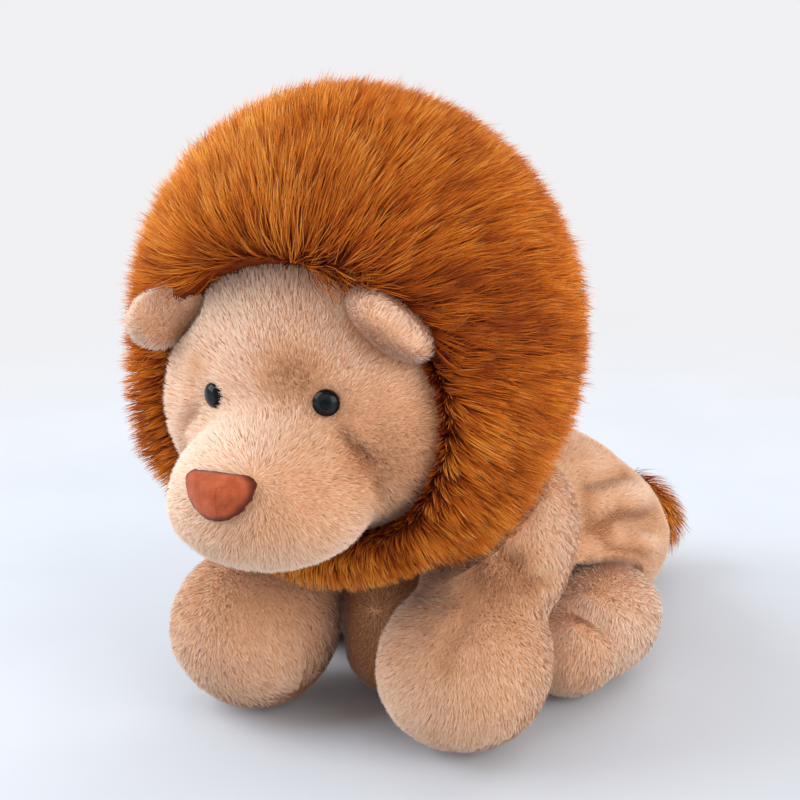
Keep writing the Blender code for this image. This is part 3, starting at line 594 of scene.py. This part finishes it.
def grow_fur(name, skin, style, flow, tone, keep=None, length_share=None, clear_of=(), seed=1):
    """Blades of fur on a skin, as a list of pieces.

    style has the density per square metre, the length and width of a blade, how
    many runs it has, how far it leans at its root and at its tip, its jitter,
    the size and strength of the clumps that the blades gather into, and the
    share of long pale guard hairs. A free style follows the flow off the
    surface too. clear_of are objects that the blades leave room round, with the
    room for each.
    """
    rng = np.random.default_rng(seed)
    area = sum(polygon.area for polygon in skin.data.polygons)
    roots, normals = surface_samples(skin, int(area * style["density"] * FINE), rng)
    if keep is not None:
        kept = keep(roots, normals)
        roots, normals = roots[kept], normals[kept]
    count = len(roots)
    combed = unit(flow(roots, normals))
    if not style.get("free", False):
        combed = along_surface(combed, normals)
    length = style["length"] * rng.uniform(*style["spread"], count)
    guard = rng.random(count) < style["guard"]
    length = np.where(guard, length * GUARD_LENGTH_SHARE, length)
    if length_share is not None:
        length = length * length_share(roots, normals)

    def lean(share):
        jitter = rng.normal(0.0, style["jitter"], (count, 3))
        return unit(normals * (1.0 - share) + combed * share + jitter)

    start = lean(style["root_lean"])
    end = lean(style["tip_lean"])
    levels = np.linspace(0.0, 1.0, style["runs"] + 1)
    path = np.stack([
        roots + length[:, None] * (start * (level - level ** 2 / 2) + end * level ** 2 / 2)
        for level in levels
    ], axis=1)
    tones = tone(roots, normals, rng) + guard * GUARD_TONE
    path, clump = gather(path, roots, levels, style, rng)
    tones = tones + (rng.random(len(clump))[clump] - 0.5) * style["clump_tone"]
    path[:, :, 2] = np.maximum(path[:, :, 2], GROUND_ROOM)

    direction = unit(path[:, -1] - path[:, 0])
    facing = along_surface(normals, direction)
    turn = rng.normal(0.0, 0.7, count)[:, None]
    side = unit(np.cross(direction, facing))
    facing, side = facing * np.cos(turn) + side * np.sin(turn), side * np.cos(turn) - facing * np.sin(turn)
    width = style["width"] / FINE ** 0.5 * rng.uniform(0.7, 1.2, count)
    width = width * np.where(guard, GUARD_WIDTH_SHARE, 1.0)
    tones = np.clip(tones, 0.02, 0.98)

    free = np.ones(count, dtype=bool)
    for other, room in clear_of:
        for level in range(1, len(levels)):
            free &= signed_distances(path[:, level], [other], 0.012) > room
    chosen = np.nonzero(free)[0]
    parts = max(1, math.ceil(len(chosen) * (2 * style["runs"] - 1) / MOST_FACES))
    pieces = []
    for index in range(parts):
        own = chosen[index::parts]
        label = name if parts == 1 else f"{name}_{index + 1}"
        pieces.append(blade_mesh(
            label, path[own], levels, side[own], facing[own], normals[own], width[own], tones[own],
            style["relief"],
        ))
    return pieces


def gather(path, roots, levels, style, rng):
    """Draw the blades' tips towards the nearest clump's middle blade."""
    count = len(roots)
    per_clump = max(style["clump_size"] ** 2 * style["density"] * FINE, 1.0)
    middles = rng.choice(count, max(int(count / per_clump), 1), replace=False)
    tree = KDTree(len(middles))
    for index, middle in enumerate(middles):
        tree.insert(roots[middle], index)
    tree.balance()
    nearest = np.array([tree.find(root)[1] for root in roots.tolist()])
    target = path[middles[nearest]]
    amount = style["clump_pull"] * levels[None, :, None] ** 1.5
    return path + (target - path) * amount, nearest


def blade_mesh(name, path, levels, side, facing, normals, width, tones, relief):
    """Write tapered blades as one mesh, with its UV and soft normals."""
    count, rows = path.shape[0], path.shape[1] - 1
    spread = (width[:, None] / 2) * (1.0 - levels[None, :-1] ** 1.6)
    half = side[:, None] * spread[:, :, None]
    per_blade = rows * 2 + 1
    points = np.empty((count, per_blade, 3))
    points[:, 0:-1:2] = path[:, :-1] - half
    points[:, 1:-1:2] = path[:, :-1] + half
    points[:, -1] = path[:, -1]

    quads = [[2 * row, 2 * row + 1, 2 * row + 3, 2 * row + 2] for row in range(rows - 1)]
    loops_each = quads + [[2 * rows - 2, 2 * rows - 1, 2 * rows]]
    pattern = np.array([corner for face in loops_each for corner in face])
    sizes = np.array([len(face) for face in loops_each])
    loops = (pattern[None, :] + (np.arange(count) * per_blade)[:, None]).ravel()
    totals = np.tile(sizes, count)
    starts = np.concatenate([[0], np.cumsum(totals)[:-1]])

    mesh = bpy.data.meshes.new(name)
    mesh.vertices.add(count * per_blade)
    mesh.vertices.foreach_set("co", points.ravel())
    mesh.loops.add(len(loops))
    mesh.loops.foreach_set("vertex_index", loops.astype(np.int32))
    mesh.polygons.add(len(totals))
    mesh.polygons.foreach_set("loop_start", starts.astype(np.int32))
    mesh.update(calc_edges=True)

    heights = np.empty((count, per_blade))
    heights[:, 0:-1:2] = levels[:-1]
    heights[:, 1:-1:2] = levels[:-1]
    heights[:, -1] = 1.0
    across = np.zeros((count, per_blade))
    across[:, 1:-1:2] = 0.003
    uv_points = np.stack([across + tones[:, None] * 0.994, heights * 0.98 + 0.01], axis=2).reshape(-1, 2)
    layer = mesh.uv_layers.new(name="OFBake")
    layer.data.foreach_set("uv", uv_points[loops].ravel())

    rounding = np.zeros((count, per_blade, 1))
    rounding[:, 0:-1:2] = -relief
    rounding[:, 1:-1:2] = relief
    soft = normals[:, None] * 0.8 + facing[:, None] * relief + side[:, None] * rounding
    mesh.shade_smooth()
    mesh.normals_split_custom_set_from_vertices(unit(soft).reshape(-1, 3).tolist())
    return link(bpy.data.objects.new(name, mesh))


def attach(made, body, material, replaces=()):
    made.data.materials.clear()
    made.data.materials.append(material)
    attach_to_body(made, body)
    for node in replaces:
        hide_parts(node)


# Materials
MANE_FUR = fur_material(
    "mane_long_fur",
    (0.0, 0.4, 0.8, 1.0),
    (
        ((60, 20, 8), (98, 36, 12), (128, 52, 18), (158, 74, 32)),
        ((104, 38, 8), (164, 70, 12), (200, 100, 20), (222, 131, 48)),
        ((160, 80, 18), (210, 120, 30), (234, 156, 60), (248, 202, 132)),
    ),
    roughness=0.75, specular=0.08, sheen=0.0,
)
BEIGE_FUR = fur_material(
    "beige_short_pile",
    (0.0, 0.5, 1.0),
    (
        ((148, 91, 56), (169, 108, 69), (191, 131, 92)),
        ((214, 157, 116), (227, 174, 133), (238, 193, 156)),
        ((240, 200, 168), (248, 220, 196), (254, 238, 224)),
    ),
    roughness=0.9, specular=0.1, sheen=0.4,
)
MANE_SKIN = skin_material("mane_backing", srgb(92, 34, 8), srgb(138, 60, 16), sheen=0.0)
BEIGE_SKIN = skin_material("beige_backing", srgb(216, 160, 120), srgb(228, 174, 134))


def ring_mesh(name, rings, closed):
    """A mesh over rings of points, in a fixed order. An open one ends in a flat face on each end ring."""
    shape = bmesh.new()
    rows = [[shape.verts.new(point) for point in ring] for ring in rings]
    pairs = list(zip(rows, rows[1:]))
    if closed:
        pairs.append((rows[-1], rows[0]))
    for near, far in pairs:
        for step in range(len(near)):
            after = (step + 1) % len(near)
            shape.faces.new((near[step], near[after], far[after], far[step]))
    if not closed:
        shape.faces.new(rows[0])
        shape.faces.new(rows[-1])
    bmesh.ops.recalc_face_normals(shape, faces=shape.faces)
    return make_object(name, shape)


def mane_backing():
    """The stuffed ball under the mane's fur, with the pocket that the face sits in."""
    around, across = 96, 64
    turns = 2 * math.pi * np.arange(around) / around
    rings = []
    for height in np.linspace(-math.pi / 2, math.pi / 2, across + 1)[1:-1]:
        ring = np.stack([np.cos(turns), np.sin(turns), np.full(around, math.tan(height))], axis=1)
        ring *= math.cos(height)
        front = ring[:, 1] < 0.0
        ring[:, 1] *= np.where(front, MANE_FRONT, MANE_RADIUS - MANE_SINK)
        ring[:, [0, 2]] *= (MANE_RADIUS - MANE_SINK, MANE_HALF_HEIGHT - MANE_SINK)
        ring += MANE_CENTRE
        share = ring_share(ring)
        pressed = np.minimum(ring[:, 1] + POCKET_DEPTH * (1.0 - share ** 6), MANE_AXIS_Y)
        ring[:, 1] = np.where(front & (share < 1.0), pressed, ring[:, 1])
        rings.append(ring)
    return ring_mesh("mane_skin", rings, closed=False)


def seam_directions(points):
    """The direction from the face's middle line out to each point, across the seam's plane."""
    return unit((points - SEAM_CENTRE) * np.array([1.0, 0.0, 1.0]))


def ring_share(points):
    """How far out each point lies, where 1 is the seam between mane and face."""
    offset = (points - SEAM_CENTRE)[:, [0, 2]] / SEAM_REACH[[0, 2]]
    return np.linalg.norm(offset, axis=1)


def mane_rim():
    """The roll of backing that follows the seam between mane and face."""
    around, across = 96, 16
    turns = 2 * math.pi * np.arange(across)[:, None] / across
    rings = []
    for angle in 2 * math.pi * np.arange(around) / around:
        outward = np.array([math.cos(angle), 0.0, math.sin(angle)])
        below = max(0.0, -outward[2])
        middle = SEAM_CENTRE + outward * (SEAM_REACH - SEAM_CLOSE * below)
        middle[1] -= SEAM_AHEAD * below
        rings.append(middle + SEAM_ROLL * (outward * np.cos(turns) - AHEAD * np.sin(turns)))
    return ring_mesh("mane_rim", rings, closed=True)


TREES = {}


def surface_tree(other):
    if other.name not in TREES:
        shape = bmesh.new()
        shape.from_mesh(other.data)
        corners = np.array([vertex.co for vertex in shape.verts])
        TREES[other.name] = (BVHTree.FromBMesh(shape), corners.min(axis=0), corners.max(axis=0))
        shape.free()
    return TREES[other.name]


def is_inside(tree, point):
    """Whether a ray from the point leaves through an odd number of surfaces."""
    ray = Vector((0.31, 0.55, 0.776))
    crossings = 0
    while crossings < 20:
        place, _, _, _ = tree.ray_cast(point, ray)
        if place is None:
            break
        crossings += 1
        point = place + ray * 1e-5
    return crossings % 2 == 1


def signed_distances(points, others, reach=0.03):
    """How far each point is from the nearest of some objects, below zero inside it."""
    nearest = np.full(len(points), 1e9)
    for other in others:
        tree, low, high = surface_tree(other)
        close = np.nonzero(np.all((points > low - reach) & (points < high + reach), axis=1))[0]
        for index in close:
            point = Vector(points[index])
            place, normal, _, distance = tree.find_nearest(point)
            if (point - place).dot(normal) < 0.0 and is_inside(tree, point):
                distance = -distance
            nearest[index] = min(nearest[index], distance)
    return nearest


def solids(*names):
    return [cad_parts[name] for name in names]


def outward_share(points, normals):
    return np.sum(seam_directions(points) * normals, axis=1)


def spots(points, places):
    total = np.zeros(len(points))
    for place, reach, amount in places:
        total += amount * np.exp(-(np.linalg.norm(points - np.array(place), axis=1) / reach) ** 2)
    return total


def mirrored(places):
    """Lines or spots of the left side, on the right side."""
    return tuple(
        ((np.array(first) * (-1.0, 1.0, 1.0)).tolist(), second, third) for first, second, third in places
    )


def wave_noise(points, size, seed):
    """Smooth noise from about -1 to 1, as a sum of waves in seeded directions."""
    rng = np.random.default_rng(seed)
    total = np.zeros(len(points))
    for _ in range(10):
        direction = rng.normal(0.0, 1.0, 3)
        direction = direction / np.linalg.norm(direction) * rng.uniform(0.6, 1.5)
        total += np.sin(points @ direction * (2 * math.pi / size) + rng.uniform(0.0, 6.28))
    return total / 5.0


def sway(points, size, seed):
    """Noise in each of the three directions."""
    return np.stack([wave_noise(points, size, seed + axis) for axis in range(3)], axis=1)


def mane_flow(points, normals):
    """Away from the face on every side, and drooping a little."""
    return unit(points - MANE_WHORL) + np.array([0.0, 0.0, -MANE_DROOP]) + sway(points, 0.05, 71) * 0.18


def fringe_flow(points, normals):
    """Out over the mane from the seam, a little forward above, laid back at the sides and below."""
    across, height = np.abs(points[:, :1]), points[:, 2:]
    aside = smooth_step(0.030, 0.080, across) * smooth_step(0.160, 0.195, height)
    below = 1.0 - smooth_step(*SEAM_LOW, height)
    ahead = np.array([0.0, -0.5, -0.1]) * (1.0 - below) + np.array([0.0, 0.15, -0.1]) * below
    lift = ahead * (1.0 - aside) + np.array([0.0, 0.10, -0.30]) * aside
    rise = smooth_step(0.235, 0.275, height) * np.array([0.0, 0.0, 0.45])
    flow = unit(seam_directions(points) * 0.8 + lift + rise) + sway(points, 0.03, 74) * 0.16
    inner = 1.0 - smooth_step(-0.7, 0.2, outward_share(points, normals))[:, None]
    flow = flow * (1.0 - 0.75 * inner) + AHEAD * inner
    lock = spots(points, FRINGE_LOCK)[:, None]
    return flow * (1.0 - lock) + unit(np.array(LOCK_DIRECTION)) * lock


def mane_length(points, normals):
    """Shorter under the chin, where the mane is trimmed, and a little shorter on the crown."""
    height = points[:, 2]
    middle = 1.0 - smooth_step(0.045, 0.085, np.abs(points[:, 0]))
    low = 1.0 - smooth_step(0.115, 0.180, height)
    shoulder = (1.0 - middle) * (1.0 - smooth_step(0.140, 0.190, height))
    return 1.0 - 0.42 * middle * low + 0.30 * shoulder - 0.07 * smooth_step(0.30, 0.36, height)


def mane_tone(points, normals, rng):
    patches = 0.15 * wave_noise(points, 0.034, 7) + 0.08 * wave_noise(points, 0.011, 8)
    # The spots paint shade and light into the mane's tone, over patches of its own tone
    tones = 0.45 + patches + spots(points, MANE_SHADING_SPOTS)
    return tones + rng.normal(0.0, 0.16, len(points))


# The tail tuft's tone, painted paler than the mane's as painted light against the shade that it lies in
def tuft_tone(points, normals, rng):
    return 0.86 + rng.normal(0.0, 0.13, len(points))


MANE_STYLE = {
    "density": 800000.0, "length": MANE_PILE, "spread": (0.84, 1.04), "width": 0.00075, "runs": 3,
    "root_lean": 0.40, "tip_lean": 0.74, "jitter": 0.13, "relief": 0.35,
    "clump_size": 0.0038, "clump_pull": 0.42, "clump_tone": 0.50, "guard": 0.10,
}
PILE_STYLE = {
    "density": 1600000.0, "length": SHORT_PILE, "spread": (0.72, 1.10), "width": 0.00040, "runs": 2,
    "root_lean": 0.42, "tip_lean": 0.68, "jitter": 0.16, "relief": 0.14,
    "clump_size": 0.0024, "clump_pull": 0.26, "clump_tone": 0.13, "guard": 0.02,
}
FRINGE_STYLE = dict(MANE_STYLE, root_lean=0.50, tip_lean=0.88, density=1300000.0, guard=0.01, free=True)
BODY_STYLE = dict(PILE_STYLE, length=0.0042)
EAR_STYLE = dict(PILE_STYLE, length=0.0040, width=0.00038, density=1700000.0)
TUFT_STYLE = dict(MANE_STYLE, length=0.025, root_lean=0.5, tip_lean=0.86, clump_pull=0.25, jitter=0.10)


def face_flow(points, normals):
    """Up over the forehead, and away from the whorl on the muzzle elsewhere."""
    up = smooth_step(0.222, 0.250, points[:, 2:])
    radial = unit(points - MUZZLE_WHORL)
    rise = unit((points - FACE_AHEAD) * np.array([0.8, 0.0, 1.0]))
    return radial * (1.0 - up) + rise * up


def body_flow(points, normals):
    return np.tile([0.0, 1.0, -0.35], (len(points), 1))


def limb_flow(points, normals):
    return np.tile([0.0, -0.5, -0.9], (len(points), 1))


def paw_flow(points, normals):
    """Down over the arm, and away from the seam of the paw's top."""
    aside = (np.abs(points[:, :1]) - 0.080) * np.sign(points[:, :1])
    return np.concatenate([aside * 30.0, np.full_like(aside, -0.5), np.full_like(aside, -0.9)], axis=1)


def beige_tone(base, places, lines):
    def tone(points, normals, rng):
        # The base and the spots paint shade and light into the tone, over a little noise of the pile's own
        # tone
        tones = base + 0.05 * wave_noise(points, 0.045, 3) + spots(points, places)
        # Painted shade in each fold's bottom and painted light on its ridges
        for line, depth, width in lines:
            profile = fold_profile(points, line, width * SHADED_WIDTH_SHARE, *SHADED_RIDGE)
            tones = tones - CREASE_SHADE * depth * profile
        return tones + rng.normal(0.0, 0.08, len(points))
    return tone


def build_mane():
    skin = mane_backing()
    rim = mane_rim()
    attach(skin, "head", MANE_SKIN, replaces=["mane"])
    attach(rim, "head", MANE_SKIN)
    face = solids("head", "muzzle")
    ears = solids("ear_left", "ear_right")

    def clear_of_face(points, normals):
        behind = points[:, 1] > MANE_AXIS_Y
        return (behind | (ring_share(points) > 1.0)) & (signed_distances(points, face + [rim]) > -0.001)

    def front_of_rim(points, normals):
        outward = outward_share(points, normals)
        back = 0.5 + 0.4 * (1.0 - smooth_step(*SEAM_LOW, points[:, 2]))
        inside = outward > -0.9 - 0.2 * smooth_step(0.235, 0.245, points[:, 2])
        return (normals[:, 1] < back) & inside & (signed_distances(points, face) > -0.010)

    def rim_length(points, normals):
        trim = 1.0 - 0.60 * (1.0 - smooth_step(0.130, 0.190, points[:, 2]))
        share = 0.28 + 0.50 * smooth_step(-0.7, 0.9, outward_share(points, normals)) * trim
        return share + 0.20 * spots(points, FRINGE_LOCK)

    pieces = grow_fur(
        "mane_fur", skin, MANE_STYLE, mane_flow, mane_tone, keep=clear_of_face, length_share=mane_length,
        clear_of=[(ear, 0.002) for ear in ears], seed=11,
    )
    pieces += grow_fur(
        "mane_fringe", rim, FRINGE_STYLE, fringe_flow, mane_tone, keep=front_of_rim, length_share=rim_length,
        clear_of=[(ear, 0.0015) for ear in ears], seed=12,
    )
    for piece in pieces:
        attach(piece, "head", MANE_FUR)


def build_plush(name, nodes, body, flow, voxel=0.003, smoothing=8, seed=1, creases=(), near=(),
                deep=0.008, base=0.58, places=(), shades=(), style=PILE_STYLE, inset=SKIN_INSET, filled=True,
                clear_of=(), reshape=None):
    """A padded skin in place of some solids, with pile on it down to a depth inside those near it.

    creases are pressed and painted with shade, shades are only painted with shade.
    base and places set the pile's tone, mostly as painted shade and light, and
    reshape moves the skin's points before the pile grows.
    """
    room = 0.0
    if filled:
        room = FILLING_ROOM
    skin = padded_skin(f"{name}_skin", nodes, voxel, inset + room, smoothing)
    for line, depth, width in creases:
        press_crease(skin, line, depth, width)
    if filled:
        fill_skin(skin, creases)
    points, _ = read_points(skin)
    points[:, 2] = np.maximum(points[:, 2], 0.0015)
    if reshape is not None:
        points = reshape(points)
    write_points(skin, points)
    attach(skin, body, BEIGE_SKIN, replaces=nodes)
    lines = [(on_skin(skin, line), depth, width) for line, depth, width in creases + shades]

    def clear(points, normals):
        return signed_distances(points, solids(*near)) > -deep

    pieces = grow_fur(
        f"{name}_pile", skin, style, flow, beige_tone(base, places, lines), keep=clear, clear_of=clear_of,
        seed=seed,
    )
    for piece in pieces:
        attach(piece, body, BEIGE_FUR)


def tuck_far_ear(points):
    """The far ear with its inner half laid back in the seam, so that only its outer lobe stands out."""
    outer = points[:, 0].min()
    inward = (points[:, 0] - outer) / (points[:, 0].max() - outer)
    points[:, 0] = outer + (points[:, 0] - outer) * FAR_EAR_SHARE + FAR_EAR_SHIFT
    points[:, 1] += FAR_EAR_TUCK * smooth_step(0.34, 0.72, inward)
    return points


def swell_arm(points):
    """The arm's outer side pushed out by its filling."""
    aside = np.abs(points[:, 0])
    points[:, 0] += np.sign(points[:, 0]) * ARM_SWELL * smooth_step(0.074, 0.104, aside)
    return points


def eye_measures(side):
    """The eye's axis, the top of its dome and its radius, read from the frame."""
    washer, _ = read_points(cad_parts[f"eye_washer_{side}"])
    eye, _ = read_points(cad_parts[f"eye_{side}"])
    inner = washer.mean(axis=0)
    axis = unit((eye.mean(axis=0) - inner)[None])[0]
    reach = (eye - inner) @ axis
    away = np.linalg.norm((eye - inner) - reach[:, None] * axis, axis=1)
    return inner + axis * reach.max(), axis, away.max()


def build_eye(side):
    top, axis, radius = eye_measures(side)
    radius = radius * EYE_SIZE_SHARE
    top = top - axis * radius * EYE_SINK_SHARES[side]
    dome = radius * EYE_DOME_SHARE
    edge = -dome - radius * EYE_EDGE_SHARE
    shape = bmesh.new()
    angles = np.linspace(0.0, math.pi / 2, 15)
    profile = [(radius * math.sin(angle), dome * (math.cos(angle) - 1.0)) for angle in angles]
    profile += [(radius, edge), (0.0, edge)]
    corners = [shape.verts.new((away, 0.0, height)) for away, height in profile]
    edges = [shape.edges.new(pair) for pair in zip(corners, corners[1:])]
    bmesh.ops.spin(
        shape, geom=corners + edges, cent=(0, 0, 0), axis=(0, 0, 1), angle=2 * math.pi, steps=48,
        use_merge=True,
    )
    bmesh.ops.remove_doubles(shape, verts=shape.verts, dist=1e-6)
    bmesh.ops.recalc_face_normals(shape, faces=shape.faces)
    turn = Vector((0.0, 0.0, 1.0)).rotation_difference(Vector(axis)).to_matrix().to_4x4()
    shape.transform(Matrix.Translation(Vector(top)) @ turn)
    made = make_object(f"eye_dome_{side}", shape)
    attach(made, "head", eye_material(top, axis, radius), replaces=[f"eye_{side}"])


def build_nose():
    """The padded nose, with stitches down its middle."""
    made = padded_skin("nose_pad", ["nose"], 0.0009, 0.0, 6)
    points, _ = read_points(made)
    middle = points.mean(axis=0)
    offset = points - middle
    across = (offset[:, 0] / NOSE_HALF_WIDTH) ** 2
    offset = offset * NOSE_SPREAD_SHARES
    offset[:, 1] += NOSE_WRAP * across * (NOSE_SPREAD_SHARES[0] ** 2 - 1.0)
    write_points(made, middle + offset + NOSE_SHIFT)
    inside = signed_distances(points, solids("muzzle"))
    shade = 1.0 - smooth_step(0.0016, 0.0042, inside)
    layer = made.data.attributes.new("edge_shade", "FLOAT", "POINT")
    layer.data.foreach_set("value", shade)
    attach(made, "head", nose_material(), replaces=["nose"])

    tree = surface_tree(made)[0]
    seam = []
    for height in np.linspace(*NOSE_SEAM_HEIGHTS, 66):
        ahead = Vector((NOSE_SEAM_X, FACE_AHEAD[1], height))
        place, _, _, _ = tree.ray_cast(ahead, Vector((0.0, 1.0, 0.0)))
        if place is not None:
            seam.append(place)
    thread = bpy.data.curves.new("nose_stitches", "CURVE")
    thread.dimensions = "3D"
    thread.bevel_depth = STITCH_RADIUS
    thread.bevel_resolution = 2
    thread.use_fill_caps = True
    for first in range(2, len(seam) - 4, 6):
        dash = thread.splines.new("POLY")
        dash.points.add(3)
        for point, place in zip(dash.points, seam[first:first + 4]):
            point.co = (*(place + Vector((0.0, -0.00005, 0.0))), 1.0)
    stitches = link(bpy.data.objects.new("nose_stitches", thread))
    attach(stitches, "head", skin_material("nose_thread", srgb(120, 54, 32), srgb(150, 72, 46)))
    return made


def build_camera():
    data = bpy.data.cameras.new("camera")
    data.angle = CAMERA_VIEW
    made = link(bpy.data.objects.new("camera", data))
    right = Vector((math.cos(CAMERA_AZIMUTH), math.sin(CAMERA_AZIMUTH), 0.0))
    level = Vector((-math.sin(CAMERA_AZIMUTH), math.cos(CAMERA_AZIMUTH), 0.0))
    back = Vector((0.0, 0.0, math.sin(CAMERA_PITCH))) - level * math.cos(CAMERA_PITCH)
    place = Vector((0.0, MANE_AXIS_Y, 0.0)) + right * CAMERA_ASIDE - level * CAMERA_BACK
    place.z = CAMERA_HEIGHT
    turned = Matrix((right, back.cross(right), back)).transposed().to_4x4()
    turned.translation = place
    made.matrix_world = turned
    bpy.context.scene.camera = made


def floor_material():
    """A pale floor that runs out to the white of the room, with no horizon."""
    nodes = Nodes("pale_floor")
    tint = nodes.ramp(nodes.noise(6.0), [(0.4, srgb(205, 210, 218)), (0.6, srgb(208, 213, 221))])
    nodes.join(tint, nodes.shader.inputs["Base Color"])
    nodes.set(Roughness=0.9, Specular_IOR_Level=0.1)
    away = nodes.vector("LENGTH", nodes.place())["Value"]
    far = nodes.share(away, FLOOR_NEAR, FLOOR_FAR, interpolation_type="SMOOTHSTEP")
    camera_ray = nodes.add("ShaderNodeLightPath").outputs["Is Camera Ray"]
    seen = nodes.scalar("MULTIPLY", far, camera_ray)
    white = nodes.add("ShaderNodeEmission")
    white.inputs["Color"].default_value = srgb(241, 240, 242)
    both = nodes.add("ShaderNodeMixShader")
    nodes.join(seen, both.inputs[0])
    nodes.join(nodes.shader.outputs[0], both.inputs[1])
    nodes.join(white.outputs[0], both.inputs[2])
    nodes.join(both.outputs[0], nodes.tree.nodes["Material Output"].inputs["Surface"])
    return nodes.material


def build_stage():
    shape = bmesh.new()
    bmesh.ops.create_grid(shape, x_segments=1, y_segments=1, size=12.0)
    floor = make_object("floor", shape, smooth=False)
    floor.data.materials.append(floor_material())


def area_light(name, place, aim, size, power, colour):
    data = bpy.data.lights.new(name, "AREA")
    data.shape = "RECTANGLE"
    data.size = size[0]
    data.size_y = size[1]
    data.energy = power
    data.color = colour
    made = link(bpy.data.objects.new(name, data))
    made.location = place
    made.rotation_euler = (Vector(aim) - Vector(place)).to_track_quat("-Z", "Y").to_euler()


def build_lights():
    aim = (0.0, -0.10, 0.15)
    area_light("window", (-1.5, -1.1, 1.4), aim, (1.8, 1.8), 45.0, (0.91, 0.96, 1.0))
    area_light("room", (1.9, -0.7, 0.9), aim, (1.8, 1.4), 29.0, (1.0, 0.98, 0.95))
    area_light("behind", (0.2, 1.8, 1.4), aim, (1.8, 1.2), 14.0, (1.0, 0.99, 0.98))
    world = bpy.data.worlds.new("room_light")
    bpy.context.scene.world = world
    world.use_nodes = True
    tree = world.node_tree
    back = tree.nodes["Background"]
    path = tree.nodes.new("ShaderNodeLightPath")
    seen = tree.nodes.new("ShaderNodeMix")
    seen.data_type = "FLOAT"
    seen.inputs[2].default_value = ROOM_LIGHT
    seen.inputs[3].default_value = ROOM_SEEN
    tree.links.new(path.outputs["Is Camera Ray"], seen.inputs[0])
    tree.links.new(seen.outputs[0], back.inputs["Strength"])
    back.inputs["Color"].default_value = (1.0, 0.995, 0.99, 1.0)
    bpy.context.scene.view_settings.view_transform = "Standard"


build_camera()
build_stage()
build_lights()
build_mane()
nose_pad = build_nose()
eyes = solids("eye_left", "eye_right")
# Each part's base tone is partly painted shade and light: the body is painted darker as it lies in shade
# behind the mane and arms, and the hind legs lighter where they are lit
build_plush(
    "face", ["head", "muzzle"], "head", face_flow, seed=21, near=["mane"], deep=0.012,
    creases=MUZZLE_CREASES + mirrored(MUZZLE_CREASES), places=FACE_SHADING_SPOTS, shades=EAR_SHADES, filled=False,
    base=0.68, clear_of=list(zip(eyes + [nose_pad], (-0.0014, -0.0026, 0.0002))),
)
build_plush(
    "body", ["body"], "body", body_flow, voxel=0.004, smoothing=6, seed=22, near=["mane"],
    deep=0.016, creases=BODY_FOLDS + mirrored(BODY_FOLDS), base=0.46,
    places=BODY_SHADING_SPOTS + mirrored(BODY_SHADING_SPOTS), style=BODY_STYLE,
)
# The far ear's base tone is painted lighter than the near ear's, as painted light against the mane's shade,
# and the far leg gets spots of painted shade
SIDES = (
    ("left", tuple, (), 0.80, None),
    ("right", mirrored, FAR_LEG_SHADING_SPOTS, 0.95, tuck_far_ear),
)
for index, (side, placed, more_shading_spots, ear_base, ear_shape) in enumerate(SIDES):
    build_plush(
        f"ear_{side}", [f"ear_{side}"], f"ear_{side}", face_flow, voxel=0.002, smoothing=3,
        seed=30 + index, base=ear_base, style=EAR_STYLE, inset=0.0008, filled=False, reshape=ear_shape,
    )
    build_plush(
        f"front_leg_{side}", [f"front_leg_{side}"], f"front_leg_{side}", paw_flow,
        seed=40 + index, near=["body", "mane"], deep=0.016, base=0.61, reshape=swell_arm,
        creases=placed(PAW_SEAMS + ARM_FOLDS), places=placed(LEG_SHADING_SPOTS) + more_shading_spots,
    )
    build_plush(
        f"hind_leg_{side}", [f"hind_leg_{side}", f"hind_foot_{side}"], f"hind_leg_{side}",
        limb_flow, seed=50 + index, near=["body"], base=0.97,
        creases=placed(FOOT_FOLDS), places=placed(FOOT_SHADING_SPOTS),
    )
    build_eye(side)
    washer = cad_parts[f"eye_washer_{side}"].data
    washer.materials.clear()
    washer.materials.append(washer_material())
build_plush("tail", ["tail"], "tail", body_flow, voxel=0.002, seed=61, near=["body"], filled=False)

tuft_skin = padded_skin("tail_tuft_skin", ["tail_tuft"], 0.003, 0.010, 6)
attach(tuft_skin, "tail", MANE_SKIN, replaces=["tail_tuft"])
for tuft_piece in grow_fur("tail_tuft_fur", tuft_skin, TUFT_STYLE, limb_flow, tuft_tone, seed=62):
    attach(tuft_piece, "tail", MANE_FUR)
